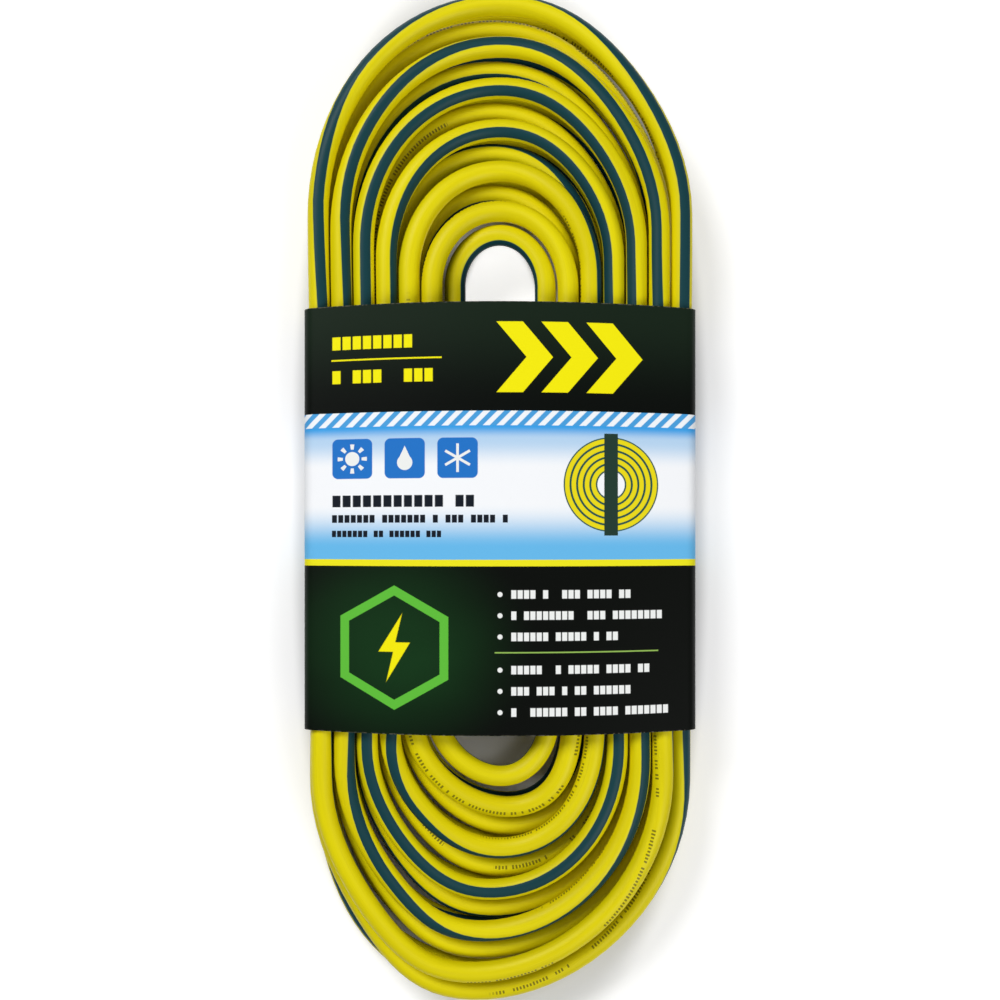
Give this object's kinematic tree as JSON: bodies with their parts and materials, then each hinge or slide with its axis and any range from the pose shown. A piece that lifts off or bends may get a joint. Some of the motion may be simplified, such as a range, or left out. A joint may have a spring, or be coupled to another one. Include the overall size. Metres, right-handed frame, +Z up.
{
  "type": "outdoor extension cord",
  "caption": "Long three-core outdoor extension cord wound into a flat hank and held by a card sleeve, with a moulded grounded plug and a lighted connector in the eye.",
  "frame": {"origin": "on the surface that the sleeve's back rests on, under the middle of the whole", "axes": "+X across the hank, +Y along it towards the end whose folds show above the sleeve's front, +Z up out of the sleeve's front"},
  "size_m": [0.1496, 0.389, 0.0423],
  "materials": {
    "cord_jacket": "matte extruded jacket, bright yellow with one dark teal stripe",
    "printed_card": "coated card, printed in black, white, blue and yellow",
    "card_back": "uncoated grey-brown card",
    "plug_mould": "satin moulded vinyl",
    "clear_mould": "translucent green moulded vinyl",
    "nylon": "natural nylon",
    "brass": "stamped, bright",
    "nickel": "nickel-plated sheet",
    "tin": "tinned",
    "black_core": "extruded insulation",
    "white_core": "extruded insulation",
    "green_core": "extruded insulation",
    "lamp_glass": "small neon lamp",
    "resistor_body": "lacquered"
  },
  "bodies": {
    "hank": {"cord_hank": "cord_jacket", "plug_overmould": "plug_mould", "plug_bridge": "nylon", "plug_line_blade": "brass", "plug_neutral_blade": "nickel", "plug_ground_pin": "brass", "plug_crimps": "tin", "plug_line_wire": "black_core", "plug_neutral_wire": "white_core", "plug_ground_wire": "green_core", "plug_jacket_end": "cord_jacket", "connector_overmould": "clear_mould", "connector_core": "nylon", "connector_line_contact": "brass", "connector_neutral_contact": "nickel", "connector_ground_contact": "brass", "connector_crimps": "tin", "connector_line_wire": "black_core", "connector_neutral_wire": "white_core", "connector_ground_wire": "green_core", "connector_jacket_end": "cord_jacket", "indicator_lamp": "lamp_glass", "lamp_resistor": "resistor_body", "lamp_leads": "tin"},
    "sleeve": {"sleeve_wrap": "printed_card", "sleeve_glue_flap": "card_back"}
  },
  "joints": [
    {"name": "sleeve_slide", "type": "slide", "parent": "hank", "child": "sleeve", "axis": [0, 1, 0], "range_m": [-0.27, 0.285]}
  ]
}
